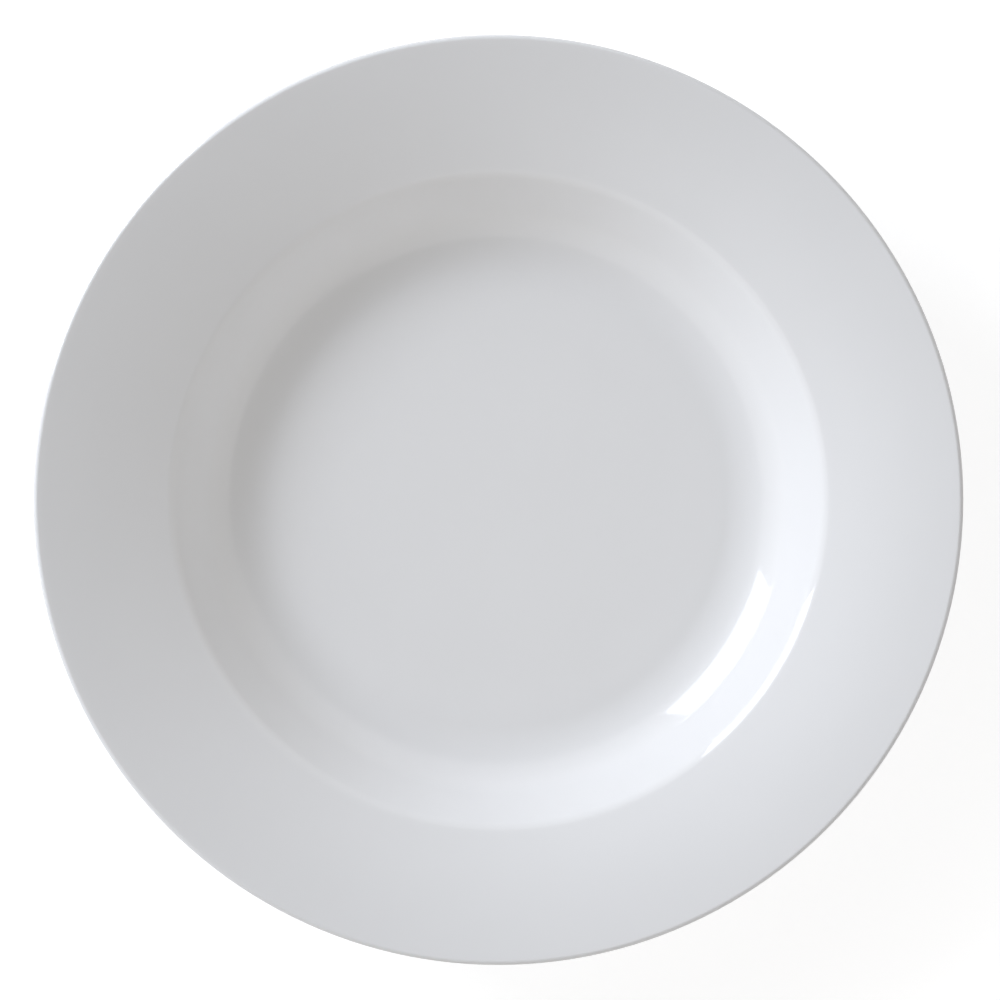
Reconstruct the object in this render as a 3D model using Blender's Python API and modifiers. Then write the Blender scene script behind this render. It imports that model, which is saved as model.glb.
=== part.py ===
"""A rimmed pasta bowl in white porcelain, turned about the Z axis and standing on z = 0.

One pressed clay body carries three coats of glaze: one over the face, one over the back and one in the
recess inside the foot ring. The two large coats meet on the crest of the lip, and the foot ring's standing
edge stays bare. Sizes are in metres and, where nothing else is said, in the clay under the glaze.
"""

import cmath
import math

import bpy

# Well: its floor reaches out to where the floor's line would meet the wall's line.
FLOOR_RADIUS = 0.0819
FLOOR_THICKNESS = 0.0048
CORNER_ROUND = 0.0270
WELL_DEPTH = 0.0190
WALL_RUN = 0.0177
WALL_THICKNESS = 0.0042
BELLY_ROUND = 0.0240

# Rim: it rises from the shoulder to the lip, and its middle stands a little proud of a straight line.
RIM_WIDTH = 0.0397
RIM_RISE = 0.0141
RIM_CROWN = 0.0006
RIM_CURVE = 0.3000
RIM_ROOT_THICKNESS = 0.0046
SHOULDER_ROUND = 0.0080
UNDER_RIM_ROUND = 0.0080
LIP_THICKNESS = 0.0030
LIP_ROUND = 0.0005

# Foot ring: set in from the edge of the floor so that one bowl stands in the well of another.
FOOT_INSET = 0.0134
FOOT_HEIGHT = 0.0035
FOOT_WIDTH = 0.0052
FOOT_DRAFT = math.radians(15)
FOOT_ROOT_ROUND = 0.0020
FOOT_EDGE_ROUND = 0.0008

# Glaze: every coat lies this far off the clay, and the two large coats as far from each other.
GLAZE_THICKNESS = 0.0004
SEAT_GAP = 0.0003

# Finish: the clay shows on the foot ring alone.
BISCUIT_WHITE = (0.78, 0.76, 0.72)
BISCUIT_ROUGHNESS = 0.55
GLAZE_WHITE = (0.77, 0.775, 0.78)
GLAZE_ROUGHNESS = 0.06

# How finely the round shapes are divided
TURN_STEPS = 48
ARC_TOLERANCE = 0.0001
WELD_DISTANCE = 0.00001
SHARP_ANGLE = math.radians(50)


def crossing(a, b, c, d):
    """Where the line through a and b meets the line through c and d."""
    along = b - a
    other = d - c
    share = ((c - a).conjugate() * other).imag / (along.conjugate() * other).imag
    return a + along * share


def clay_corners():
    """The corners of the clay's half section, each with the radius that rounds it.

    A point is radius + height * 1j. They run from the middle of the well out over the lip and back
    underneath to the middle of the base, with the air on the left all the way.
    """
    base = 1j * FOOT_HEIGHT
    floor = base + 1j * FLOOR_THICKNESS
    floor_edge = floor + FLOOR_RADIUS
    shoulder = floor_edge + complex(WALL_RUN, WELL_DEPTH)
    lip_top = shoulder + complex(RIM_WIDTH, RIM_RISE)
    rim_middle = (shoulder + lip_top) / 2 + 2j * RIM_CROWN
    lip_bottom = lip_top - 1j * LIP_THICKNESS
    rim_root = shoulder - 1j * RIM_ROOT_THICKNESS

    wall = shoulder - floor_edge
    through_wall = -1j * WALL_THICKNESS * wall / abs(wall)
    outer_low = floor_edge + through_wall
    outer_high = shoulder + through_wall
    under_rim = crossing(lip_bottom, rim_root, outer_low, outer_high)
    belly = crossing(outer_low, outer_high, base, base + FLOOR_RADIUS)

    flare = FOOT_HEIGHT * math.tan(FOOT_DRAFT)
    foot_outer = complex(FLOOR_RADIUS - FOOT_INSET, 0)
    foot_inner = foot_outer - FOOT_WIDTH
    return {
        "floor": (floor, 0),
        "floor_edge": (floor_edge, CORNER_ROUND),
        "shoulder": (shoulder, SHOULDER_ROUND),
        "rim_middle": (rim_middle, RIM_CURVE),
        "lip_top": (lip_top, LIP_ROUND),
        "lip_bottom": (lip_bottom, LIP_ROUND),
        "under_rim": (under_rim, UNDER_RIM_ROUND),
        "belly": (belly, BELLY_ROUND),
        "foot_outer_root": (foot_outer + base + flare, FOOT_ROOT_ROUND),
        "foot_outer": (foot_outer, FOOT_EDGE_ROUND),
        "foot_inner": (foot_inner, FOOT_EDGE_ROUND),
        "foot_inner_root": (foot_inner + base - flare, FOOT_ROOT_ROUND),
        "base": (base, 0),
    }


def rounded(corners):
    """Each corner as a list of (point, normal) along the arc that rounds it.

    Where two arcs want the same stretch of a side, both shrink, so that a short straight stays between.
    """
    places = [place for place, radius in corners.values()]
    sides = [end - start for start, end in zip(places, places[1:])]
    turns = [0] + [cmath.phase(after / before) for before, after in zip(sides, sides[1:])] + [0]
    reach = [radius * math.tan(abs(turn) / 2) for (place, radius), turn in zip(corners.values(), turns)]
    for i, side in enumerate(sides):
        wanted = reach[i] + reach[i + 1]
        if wanted > abs(side) - 2 * SEAT_GAP:
            share = (abs(side) - 2 * SEAT_GAP) / wanted
            reach[i] *= share
            reach[i + 1] *= share

    arcs = {}
    for i, name in enumerate(corners):
        heading = sides[max(i - 1, 0)] / abs(sides[max(i - 1, 0)])
        if not reach[i]:
            arcs[name] = [(places[i], 1j * heading)]
            continue
        radius = reach[i] / math.tan(abs(turns[i]) / 2)
        to_centre = math.copysign(radius, turns[i])
        centre = places[i] - heading * reach[i] + 1j * heading * to_centre
        widest_step = 2 * math.acos(radius / (radius + ARC_TOLERANCE))
        steps = max(2, math.ceil(abs(turns[i]) / widest_step))
        normals = [1j * heading * cmath.exp(1j * turns[i] * k / steps) for k in range(steps + 1)]
        arcs[name] = [(centre - normal * to_centre, normal) for normal in normals]
    return arcs


def straight_between(arc, next_arc, gap):
    """Two (point, normal) pairs in the middle of the straight from one arc to the next, a gap apart."""
    start, normal = arc[-1]
    end = next_arc[0][0]
    middle = (start + end) / 2
    half = (end - start) / abs(end - start) * gap / 2
    return (middle - half, normal), (middle + half, normal)


def moved_out(line, distance):
    return [point + normal * distance for point, normal in line]


def coat(line):
    """The closed half section of a coat of glaze over a line of (point, normal) on the clay."""
    outside = moved_out(line, SEAT_GAP + GLAZE_THICKNESS)
    inside = moved_out(line, SEAT_GAP)
    return outside + inside[::-1]


def finish(name, color, roughness):
    material = bpy.data.materials.new(name)
    material.use_nodes = True
    shader = material.node_tree.nodes["Principled BSDF"]
    shader.inputs["Base Color"].default_value = (*color, 1)
    shader.inputs["Roughness"].default_value = roughness
    shader.inputs["Metallic"].default_value = 0
    return material


def turn(name, half_section, material):
    """A solid turned about Z from a closed half section. No edge is needed along the axis itself."""
    count = len(half_section)
    pairs = [(i, (i + 1) % count) for i in range(count)]
    edges = [(i, k) for i, k in pairs if max(half_section[i].real, half_section[k].real) > WELD_DISTANCE]
    profile = bpy.data.meshes.new(name + "_profile")
    profile.from_pydata([(point.real, 0, point.imag) for point in half_section], edges, [])
    part = bpy.data.objects.new(name, profile)
    bowl.objects.link(part)

    screw = part.modifiers.new("Turn", "SCREW")
    screw.axis = "Z"
    screw.angle = math.tau
    screw.steps = TURN_STEPS
    screw.render_steps = TURN_STEPS
    screw.use_merge_vertices = True
    screw.merge_threshold = WELD_DISTANCE
    graph = bpy.context.evaluated_depsgraph_get()
    part.data = bpy.data.meshes.new_from_object(part.evaluated_get(graph))
    part.modifiers.clear()
    bpy.data.meshes.remove(profile)

    part.data.name = name
    part.data.shade_smooth()
    part.data.set_sharp_from_angle(angle=SHARP_ANGLE)
    part.data.materials.append(material)
    part.parent = stand


for thing in list(bpy.data.objects):
    bpy.data.objects.remove(thing)
bowl = bpy.data.collections.new("pasta_bowl")
bpy.context.scene.collection.children.link(bowl)
stand = bpy.data.objects.new("stand_point", None)
bowl.objects.link(stand)

arcs = rounded(clay_corners())
face_stop, back_start = straight_between(arcs["lip_top"], arcs["lip_bottom"], SEAT_GAP)
back_stop, _ = straight_between(arcs["foot_outer_root"], arcs["foot_outer"], 0)
base_start, _ = straight_between(arcs["foot_inner"], arcs["foot_inner_root"], 0)

clay = [point for arc in arcs.values() for point, normal in arc]
face = arcs["floor"] + arcs["floor_edge"] + arcs["shoulder"] + arcs["rim_middle"] + arcs["lip_top"]
back = arcs["lip_bottom"] + arcs["under_rim"] + arcs["belly"] + arcs["foot_outer_root"]
recess = arcs["foot_inner_root"] + arcs["base"]
coated = {
    "face_glaze": face + [face_stop],
    "back_glaze": [back_start] + back + [back_stop],
    "base_glaze": [base_start] + recess,
}

turn("porcelain_body", clay, finish("biscuit", BISCUIT_WHITE, BISCUIT_ROUGHNESS))
for name, line in coated.items():
    turn(name, coat(line), finish(name, GLAZE_WHITE, GLAZE_ROUGHNESS))
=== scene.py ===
import cmath
import math

import bpy
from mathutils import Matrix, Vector


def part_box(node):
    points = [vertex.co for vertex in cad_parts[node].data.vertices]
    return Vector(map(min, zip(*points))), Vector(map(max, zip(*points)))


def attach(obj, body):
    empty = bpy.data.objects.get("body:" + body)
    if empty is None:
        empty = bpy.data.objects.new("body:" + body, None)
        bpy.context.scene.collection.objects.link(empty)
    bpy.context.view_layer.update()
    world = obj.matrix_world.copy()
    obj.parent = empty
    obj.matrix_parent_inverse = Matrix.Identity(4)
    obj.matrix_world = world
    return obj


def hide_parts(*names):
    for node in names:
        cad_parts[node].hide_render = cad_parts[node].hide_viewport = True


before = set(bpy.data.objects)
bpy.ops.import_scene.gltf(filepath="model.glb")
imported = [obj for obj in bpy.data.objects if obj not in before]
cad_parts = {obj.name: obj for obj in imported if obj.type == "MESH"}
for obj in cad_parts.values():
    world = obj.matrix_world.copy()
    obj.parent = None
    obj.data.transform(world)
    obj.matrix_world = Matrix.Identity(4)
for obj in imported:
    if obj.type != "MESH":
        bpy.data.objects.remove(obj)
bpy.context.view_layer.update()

# Porcelain body: the bowl itself, pressed in one piece from white clay and fired hard. It carries the well,
# the wall, the wide rim and the foot ring. It all lies under glaze but for the foot ring's standing edge,
# which is wiped clean before the firing and then ground smooth on a wheel.

foot_height = 0.0035
foot_outer_radius = 0.0685
foot_width = 0.0052
foot_draft = math.radians(15)
foot_root_round = 0.0020
foot_edge_round = 0.0008
floor_thickness = 0.0048
floor_radius = 0.0819
corner_round = 0.0270
well_depth = 0.0190
wall_run = 0.0177
wall_thickness = 0.0042
belly_round = 0.0240
shoulder_round = 0.0080
rim_rise = 0.0141
rim_crown = 0.0006
rim_curve = 0.3000
rim_root_thickness = 0.0046
under_rim_round = 0.0080
lip_thickness = 0.0030
lip_round = 0.0005
lip_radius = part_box("porcelain_body")[1].x

chord_error = 0.0000015
longest_step = 0.0030
wheel_steps = 192
weld_distance = 0.000001
crease_angle = math.radians(40)


def crossing(a, b, c, d):
    """Where the line through a and b meets the line through c and d."""
    along = b - a
    other = d - c
    share = ((c - a).conjugate() * other).imag / (along.conjugate() * other).imag
    return a + along * share


def pull_point(start, end):
    """Extrude the selected point along a straight, in an even number of steps."""
    steps = 2 * math.ceil(abs(end - start) / longest_step / 2)
    step = (end - start) / steps
    for _ in range(steps):
        bpy.ops.mesh.extrude_region_move(TRANSFORM_OT_translate={"value": (step.real, 0, step.imag)})


def turn_on_wheel(name, corners):
    """A turned piece from its half section, given as (radius + height * 1j, rounding) from axis to axis."""
    bpy.ops.object.select_all(action="DESELECT")
    bpy.ops.mesh.primitive_plane_add(size=longest_step)
    piece = bpy.context.object
    piece.name = name
    piece.data.name = name
    bpy.ops.object.mode_set(mode="EDIT")
    bpy.ops.mesh.merge(type="CENTER")
    here = corners[0][0]
    bpy.ops.transform.translate(value=(here.real, 0, here.imag))

    places = [place for place, rounding in corners]
    for before, (corner, rounding), after in zip(places, corners[1:-1], places[2:]):
        heading = (corner - before) / abs(corner - before)
        bend = cmath.phase((after - corner) / heading)
        reach = rounding * math.tan(abs(bend) / 2)
        arc_start = corner - heading * reach
        centre = arc_start + 1j * heading * math.copysign(rounding, bend)
        arc_step = 2 * math.acos(1 - chord_error / rounding)
        pull_point(here, arc_start)
        bpy.ops.mesh.spin(
            steps=math.ceil(abs(bend) / arc_step),
            angle=bend,
            center=(centre.real, 0, centre.imag),
            axis=(0, 1, 0),
        )
        here = corner + heading * cmath.exp(1j * bend) * reach
    pull_point(here, places[-1])

    bpy.ops.mesh.select_all(action="SELECT")
    bpy.ops.mesh.spin(steps=wheel_steps, angle=math.tau, center=(0, 0, 0), axis=(0, 0, 1))
    bpy.ops.mesh.select_all(action="SELECT")
    bpy.ops.mesh.remove_doubles(threshold=weld_distance)
    bpy.ops.mesh.normals_make_consistent(inside=False)
    bpy.ops.object.mode_set(mode="OBJECT")
    bpy.ops.object.shade_smooth_by_angle(angle=crease_angle)
    return piece


base = 1j * foot_height
floor = base + 1j * floor_thickness
floor_edge = floor + floor_radius
shoulder = floor_edge + complex(wall_run, well_depth)
lip_top = complex(lip_radius, shoulder.imag + rim_rise)
rim_middle = (shoulder + lip_top) / 2 + 2j * rim_crown
lip_bottom = lip_top - 1j * lip_thickness
rim_root = shoulder - 1j * rim_root_thickness

wall = shoulder - floor_edge
through_wall = -1j * wall_thickness * wall / abs(wall)
outer_low = floor_edge + through_wall
outer_high = shoulder + through_wall
under_rim = crossing(lip_bottom, rim_root, outer_low, outer_high)
belly = crossing(outer_low, outer_high, base, base + floor_radius)
foot_flare = foot_height * math.tan(foot_draft)
foot_inner_radius = foot_outer_radius - foot_width

porcelain = turn_on_wheel(
    "bowl_porcelain",
    [
        (floor, 0),
        (floor_edge, corner_round),
        (shoulder, shoulder_round),
        (rim_middle, rim_curve),
        (lip_top, lip_round),
        (lip_bottom, lip_round),
        (under_rim, under_rim_round),
        (belly, belly_round),
        (base + foot_outer_radius + foot_flare, foot_root_round),
        (foot_outer_radius, foot_edge_round),
        (foot_inner_radius, foot_edge_round),
        (base + foot_inner_radius - foot_flare, foot_root_round),
        (base, 0),
    ],
)


def add_node(tree, kind, inputs, **settings):
    """A shader node with its settings, and with its inputs set to numbers or linked to other sockets."""
    node = tree.nodes.new(kind)
    for name, value in settings.items():
        setattr(node, name, value)
    for name, value in inputs.items():
        if isinstance(value, bpy.types.NodeSocket):
            tree.links.new(value, node.inputs[name])
        else:
            node.inputs[name].default_value = value
    return node


def new_finish(name):
    """A material with its node tree, its shader and the place on the bowl that its patterns read."""
    finish = bpy.data.materials.new(name)
    finish.use_nodes = True
    tree = finish.node_tree
    shader = tree.nodes["Principled BSDF"]
    place = tree.nodes.new("ShaderNodeTexCoord").outputs["Object"]
    return finish, tree, shader, place


def radius_of(tree, place):
    """How far a place lies from the bowl's axis, in metres."""
    flat = add_node(tree, "ShaderNodeVectorMath", {0: place, 1: (1, 1, 0)}, operation="MULTIPLY")
    return add_node(tree, "ShaderNodeVectorMath", {0: flat.outputs[0]}, operation="LENGTH").outputs["Value"]


def noise(tree, inputs, **settings):
    """A value that wanders between 0 and 1 over the bowl."""
    return add_node(tree, "ShaderNodeTexNoise", inputs, **settings).outputs[0]


def ramp(tree, share, stops):
    """A colour that eases from stop to stop, each a (share, color), as the share goes from 0 to 1."""
    node = add_node(tree, "ShaderNodeValToRGB", {"Fac": share})
    node.color_ramp.interpolation = "EASE"
    elements = node.color_ramp.elements
    while len(elements) < len(stops):
        elements.new(1)
    for element, (position, color) in zip(elements, stops):
        element.position = position
        element.color = (*color, 1)
    return node.outputs["Color"]


biscuit_shade = (0.66, 0.63, 0.58)
biscuit_white = (0.80, 0.78, 0.74)
grains_per_metre = 1400
patches_per_metre = 60
rings_per_metre = 3500
grinding_depth = 0.00003


def bare_porcelain():
    """Fired clay without glaze: warm white and satin, with fine grain and the rings of the grinding wheel."""
    finish, tree, shader, place = new_finish("bare_porcelain")
    radius = radius_of(tree, place)
    grain = noise(tree, {"Vector": place, "Scale": grains_per_metre, "Detail": 3})
    patch = noise(tree, {"Vector": place, "Scale": patches_per_metre, "Detail": 4})
    rings = noise(tree, {"W": radius, "Scale": rings_per_metre, "Detail": 2}, noise_dimensions="1D")
    tone = add_node(tree, "ShaderNodeMix", {"Factor": 0.5, "A": patch, "B": rings}).outputs[0]
    color = ramp(tree, tone, [(0.30, biscuit_shade), (0.62, biscuit_white)])
    gloss = add_node(tree, "ShaderNodeMapRange", {"Value": rings, "To Min": 0.42, "To Max": 0.62})
    relief = add_node(tree, "ShaderNodeMix", {"Factor": 0.6, "A": grain, "B": rings}).outputs[0]
    bump = add_node(tree, "ShaderNodeBump", {"Height": relief, "Distance": grinding_depth, "Strength": 0.6})
    tree.links.new(color, shader.inputs["Base Color"])
    tree.links.new(gloss.outputs["Result"], shader.inputs["Roughness"])
    tree.links.new(bump.outputs["Normal"], shader.inputs["Normal"])
    return finish


porcelain.data.materials.append(bare_porcelain())
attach(porcelain, "root")
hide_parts("porcelain_body")

# Face glaze: the white glass over the eating side, from the middle of the well to the crest of the lip. It is
# sprayed on from above and melts smooth. Its colour is painted lighter in the corner and on the wall of the
# well, as painted light, and darker along the rim to the lip, as painted shade.

glaze_depth = 0.0007
least_upward = 0.001
crest = [vertex.co.z for vertex in porcelain.data.vertices if vertex.co.x > lip_radius - weld_distance]
crest_height = (min(crest) + max(crest)) / 2


def coat_over(name, is_coated):
    """A coat of glaze: a copy of the clay's faces where is_coated(face) holds, given its depth outwards."""
    coat = bpy.data.objects.new(name, porcelain.data.copy())
    coat.data.name = name
    coat.data.materials.clear()
    bpy.context.collection.objects.link(coat)
    bpy.ops.object.select_all(action="DESELECT")
    coat.select_set(True)
    bpy.context.view_layer.objects.active = coat

    bpy.ops.object.mode_set(mode="EDIT")
    bpy.ops.mesh.select_mode(type="FACE")
    bpy.ops.mesh.select_all(action="DESELECT")
    bpy.ops.object.mode_set(mode="OBJECT")
    for face in coat.data.polygons:
        face.select = not is_coated(face)
    bpy.ops.object.mode_set(mode="EDIT")
    bpy.ops.mesh.delete(type="FACE")
    bpy.ops.object.mode_set(mode="OBJECT")

    depth = coat.modifiers.new("Depth", "SOLIDIFY")
    depth.thickness = glaze_depth
    depth.offset = 1
    depth.use_even_offset = True
    bpy.ops.object.modifier_apply(modifier="Depth")
    bpy.ops.object.shade_smooth_by_angle(angle=crease_angle)
    return coat


def faces_up(face):
    return face.normal.z > least_upward or face.center.z > crest_height


clouds_per_metre = 28
hazes_per_metre = 45
waves_per_metre = 90
wave_height = 0.00004
dimples_per_metre = 650
dimple_depth = 0.000002


def white_glaze(name, tones):
    """Gloss white glaze. tones gives its colour at some radii, from the bowl's axis outwards."""
    finish, tree, shader, place = new_finish(name)
    radius = radius_of(tree, place)
    share = add_node(tree, "ShaderNodeMath", {0: radius, 1: lip_radius}, operation="DIVIDE").outputs[0]
    tone = ramp(tree, share, [(at_radius / lip_radius, color) for at_radius, color in tones])
    cloud = noise(tree, {"Vector": place, "Scale": clouds_per_metre, "Detail": 3})
    shade = add_node(tree, "ShaderNodeMapRange", {"Value": cloud, "To Min": 0.985, "To Max": 1.015})
    color = add_node(
        tree, "ShaderNodeVectorMath", {0: tone, 1: shade.outputs["Result"]}, operation="MULTIPLY"
    )
    haze = noise(tree, {"Vector": place, "Scale": hazes_per_metre, "Detail": 5})
    gloss = add_node(tree, "ShaderNodeMapRange", {"Value": haze, "To Min": 0.04, "To Max": 0.08})
    wave = noise(tree, {"Vector": place, "Scale": waves_per_metre, "Detail": 1})
    peel = noise(tree, {"Vector": place, "Scale": dimples_per_metre, "Detail": 1})
    soft = add_node(tree, "ShaderNodeBump", {"Height": wave, "Distance": wave_height, "Strength": 1})
    fine = add_node(
        tree,
        "ShaderNodeBump",
        {"Height": peel, "Distance": dimple_depth, "Strength": 1, "Normal": soft.outputs["Normal"]},
    )
    tree.links.new(color.outputs[0], shader.inputs["Base Color"])
    tree.links.new(gloss.outputs["Result"], shader.inputs["Roughness"])
    tree.links.new(fine.outputs["Normal"], shader.inputs["Normal"])
    return finish


# The second tone is lighter: on the face it is painted light in the corner and on the wall of the well, and
# on the back and base it is glaze pooled against the foot ring. The last tone is darker: painted shade along
# the rim to the lip.
face_white = (0.793, 0.793, 0.793)
pooled_glaze_and_painted_light_white = (0.819, 0.819, 0.819)
rim_white = (0.800, 0.800, 0.800)
painted_shade_lip_white = (0.767, 0.767, 0.767)

# The face's tones are set in the flat of the well, at the foot and the top of its wall, past the shoulder
# and at the lip. The corner and the wall are lighter as painted light, and the rim darkens to the lip as
# painted shade.
face_tones = [
    (0.050, face_white),
    (0.074, pooled_glaze_and_painted_light_white),
    (0.097, pooled_glaze_and_painted_light_white),
    (0.103, rim_white),
    (lip_radius, painted_shade_lip_white),
]

face_coat = coat_over("bowl_face_glaze", faces_up)
face_coat.data.materials.append(white_glaze("face_glaze", face_tones))
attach(face_coat, "root")
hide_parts("face_glaze")

# Back glaze: the same glass on the underside, from the crest of the lip down the belly to the foot ring. It
# is sprayed on with the bowl turned over, and wiped off the foot, so it ends there in a rounded edge.

glaze_line = 0.0013
glaze_edge_round = 0.0005
glaze_edge_steps = 6
foot_middle = foot_outer_radius - foot_width / 2


def faces_down(face):
    return not faces_up(face) and face.center.z > glaze_line


def outside_foot(face):
    return faces_down(face) and face.center.xy.length > foot_middle


def round_lowest_edge(coat):
    """Round the edge in which a coat ends on the side of the foot ring."""
    lowest = min(vertex.co.z for vertex in coat.data.vertices)
    points = coat.data.vertices
    bpy.ops.object.mode_set(mode="EDIT")
    bpy.ops.mesh.select_mode(type="EDGE")
    bpy.ops.mesh.select_all(action="DESELECT")
    bpy.ops.object.mode_set(mode="OBJECT")
    for edge in coat.data.edges:
        edge.select = max(points[i].co.z for i in edge.vertices) < lowest + weld_distance
    bpy.ops.object.mode_set(mode="EDIT")
    bpy.ops.mesh.bevel(offset=glaze_edge_round, segments=glaze_edge_steps, affect="EDGES")
    bpy.ops.object.mode_set(mode="OBJECT")
    bpy.ops.object.shade_smooth_by_angle(angle=crease_angle)


# The back's tones are set against the foot ring, on the belly, under the middle of the rim and at the lip,
# where it is darker with the same painted shade as the face.
back_tones = [(0.069, pooled_glaze_and_painted_light_white), (0.074, face_white), (0.118, rim_white), (lip_radius, painted_shade_lip_white)]

back_coat = coat_over("bowl_back_glaze", outside_foot)
round_lowest_edge(back_coat)
back_coat.data.materials.append(white_glaze("back_glaze", back_tones))
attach(back_coat, "root")
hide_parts("back_glaze")

# Base glaze: the island of the same glass in the shallow recess inside the foot ring. The bare foot cuts it
# off from the rest, and it pools against the foot's inner side.


def inside_foot(face):
    return faces_down(face) and face.center.xy.length < foot_middle


# The base's tones are set in the flat of the recess, in its corner and on the foot ring's side.
base_tones = [(0.050, face_white), (0.060, pooled_glaze_and_painted_light_white), (0.063, face_white)]

base_coat = coat_over("bowl_base_glaze", inside_foot)
round_lowest_edge(base_coat)
base_coat.data.materials.append(white_glaze("base_glaze", base_tones))
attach(base_coat, "root")
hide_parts("base_glaze")

# Table: a wide sheet of plain white board that the foot ring stands on. Its bare parts show as white, and the
# bowl's shadow stays on it.

table_size = 12.0
board_white = (0.80, 0.80, 0.80, 1)
seen_board_grey = (0.45, 0.45, 0.45, 1)
seen_board_glow = 0.75

bpy.ops.object.select_all(action="DESELECT")
bpy.ops.mesh.primitive_plane_add(size=table_size)
table = bpy.context.object
table.name = "table_board"


def seen_rays(tree):
    """1 for what the camera sees directly or in a mirror or through glass, and 0 for other light."""
    rays = tree.nodes.new("ShaderNodeLightPath").outputs
    either = add_node(
        tree, "ShaderNodeMath", {0: rays["Is Camera Ray"], 1: rays["Is Glossy Ray"]}, operation="MAXIMUM"
    )
    every = add_node(
        tree, "ShaderNodeMath", {0: either.outputs[0], 1: rays["Is Transmission Ray"]}, operation="MAXIMUM"
    )
    return every.outputs[0]


def white_board():
    """Matt white board that is seen as white where it is lit."""
    board = bpy.data.materials.new("white_board")
    board.use_nodes = True
    tree = board.node_tree
    tree.nodes.clear()
    lit = add_node(tree, "ShaderNodeBsdfDiffuse", {"Color": board_white})
    seen = add_node(tree, "ShaderNodeBsdfDiffuse", {"Color": seen_board_grey})
    glow = add_node(tree, "ShaderNodeEmission", {"Color": (1, 1, 1, 1), "Strength": seen_board_glow})
    bright = add_node(tree, "ShaderNodeAddShader", {0: seen.outputs[0], 1: glow.outputs[0]})
    mixed = add_node(
        tree, "ShaderNodeMixShader", {"Fac": seen_rays(tree), 1: lit.outputs[0], 2: bright.outputs[0]}
    )
    add_node(tree, "ShaderNodeOutputMaterial", {"Surface": mixed.outputs[0]})
    return board


table.data.materials.append(white_board())

# Light: a large softbox with a brighter middle, low behind the bowl on the left, a white card in front of
# it, and a white room under a dark ceiling that comes lower on the right. The room lights the bowl from the
# middle of its walls, and what is seen of the walls, directly or in the glaze, is plain white.

light_distance = 2.0
softbox_bearing = 146.6
softbox_width = 30.3
daylight = (0.850, 0.903, 1.0)
white = (1, 1, 1)
black = (0, 0, 0)
wall_light = (1.295, 1.274, 1.260)
ceiling_grey = (0.25, 0.25, 0.25)

# A height in the room is the sine of its angle above the table.
wall_middle = math.sin(math.radians(27.5))
wall_reach = 0.42
wall_top = math.sin(math.radians(40))
ceiling_edge = math.sin(math.radians(48))

# The drop starts and is full where a direction points this far toward the low side, 1 being straight at it.
low_ceiling_bearing = math.radians(338)
low_ceiling_start = 0.50
low_ceiling_full = 0.76
low_ceiling_drop = 0.115


def soft_light(name, bearing, height, wide, high, brightness, color):
    """A flat light at a bearing and height seen from the bowl, of an angular size, all in degrees."""
    bearing = math.radians(bearing)
    height = math.radians(height)
    lamp = bpy.data.lights.new(name, "AREA")
    lamp.shape = "RECTANGLE"
    lamp.size = 2 * light_distance * math.tan(math.radians(wide) / 2)
    lamp.size_y = 2 * light_distance * math.tan(math.radians(high) / 2)
    lamp.energy = brightness * math.pi * lamp.size * lamp.size_y
    lamp.color = color
    toward = Vector(
        (math.cos(bearing) * math.cos(height), math.sin(bearing) * math.cos(height), math.sin(height))
    )
    light = bpy.data.objects.new(name, lamp)
    light.location = toward * light_distance
    light.rotation_euler = toward.to_track_quat("Z", "Y").to_euler()
    light.visible_camera = False
    bpy.context.collection.objects.link(light)
    return light


soft_light(
    "softbox",
    bearing=softbox_bearing,
    height=23.5,
    wide=softbox_width,
    high=31,
    brightness=5.25,
    color=daylight,
)
soft_light(
    "softbox_middle",
    bearing=softbox_bearing,
    height=27.5,
    wide=softbox_width,
    high=15,
    brightness=7.35,
    color=daylight,
)
card = soft_light("white_card", bearing=255, height=42.5, wide=75, high=15, brightness=0.89, color=white)
card.visible_glossy = False

room = bpy.data.worlds.new("white_room")
room.use_nodes = True
bpy.context.scene.world = room
room_tree = room.node_tree
direction = room_tree.nodes.new("ShaderNodeTexCoord").outputs["Generated"]
upward = add_node(room_tree, "ShaderNodeSeparateXYZ", {0: direction}).outputs["Z"]
lit_walls = ramp(
    room_tree,
    upward,
    [(wall_middle - wall_reach, black), (wall_middle, wall_light), (wall_middle + wall_reach, black)],
)

low_side = (math.cos(low_ceiling_bearing), math.sin(low_ceiling_bearing), 0)
toward_low_side = add_node(
    room_tree, "ShaderNodeVectorMath", {0: direction, 1: low_side}, operation="DOT_PRODUCT"
).outputs["Value"]
drop = add_node(
    room_tree,
    "ShaderNodeMapRange",
    {
        "Value": toward_low_side,
        "From Min": low_ceiling_start,
        "From Max": low_ceiling_full,
        "To Max": low_ceiling_drop,
    },
    interpolation_type="SMOOTHSTEP",
).outputs["Result"]
seen_height = add_node(room_tree, "ShaderNodeMath", {0: upward, 1: drop}, operation="ADD").outputs[0]
seen_walls = ramp(room_tree, seen_height, [(wall_top, white), (ceiling_edge, ceiling_grey)])

# A Mix node has sockets of the same names for each kind of value, so those for colour go by number.
room_color = add_node(
    room_tree, "ShaderNodeMix", {0: seen_rays(room_tree), 6: lit_walls, 7: seen_walls}, data_type="RGBA"
)
room_tree.links.new(room_color.outputs[2], room_tree.nodes["Background"].inputs["Color"])

# Camera: hung straight above the bowl and looking down, with a long lens, so that the rim and the well show
# with little perspective. The picture's middle lies half a millimetre off the bowl's axis.

camera_distance = 1.2
sensor_width = 36
picture_width = 0.3013
picture_middle = 0.0005

lens = bpy.data.cameras.new("camera")
lens.sensor_width = sensor_width
lens.lens = sensor_width * camera_distance / picture_width
camera = bpy.data.objects.new("camera", lens)
camera.location = (picture_middle, 0, crest_height + camera_distance)
bpy.context.collection.objects.link(camera)
bpy.context.scene.camera = camera
bpy.context.scene.view_settings.view_transform = "Standard"
